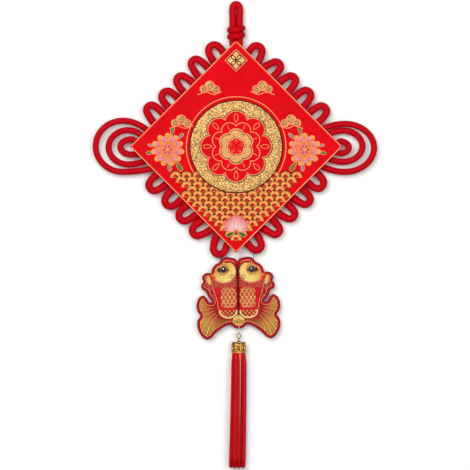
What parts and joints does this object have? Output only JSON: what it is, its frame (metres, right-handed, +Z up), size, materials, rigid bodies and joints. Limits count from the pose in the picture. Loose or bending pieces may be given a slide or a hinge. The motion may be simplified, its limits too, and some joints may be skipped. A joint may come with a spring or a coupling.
{
  "type": "chinese knot hanging with fish pendant and tassel",
  "caption": "Red satin cord knot with side ears behind a diamond velvet board, hung by a loop, with a padded double fish pendant and a capped tassel below.",
  "frame": {"origin": "inside of the hanging loop's top, where a hook or nail holds it", "axes": "+Z up along the hanging's length, the face looks along -Y, +X to the right seen from the front"},
  "size_m": [0.379, 0.0294, 0.6225],
  "materials": {
    "satin_cord": "satin",
    "board_velvet": "velvet",
    "gold_cloth": "glittered",
    "blossom_velvet": "velvet",
    "gold_velvet": "velvet",
    "printed_plush": "printed plush",
    "dark_thread": "matt",
    "pale_thread": "satin",
    "gilt_metal": "worn gilt",
    "tassel_silk": "silky"
  },
  "bodies": {
    "root": {"knot_cord": "satin_cord", "face_board": "board_velvet", "medallion": "gold_cloth", "blossom": "blossom_velvet", "blossom_heart": "gold_velvet", "emblem": "gold_cloth", "fish_pendant": "printed_plush", "tie_left": "dark_thread", "tie_right": "dark_thread", "hanger_thread": "pale_thread", "eye_pin": "gilt_metal", "tassel_cap": "gilt_metal", "tassel": "tassel_silk"}
  },
  "joints": []
}
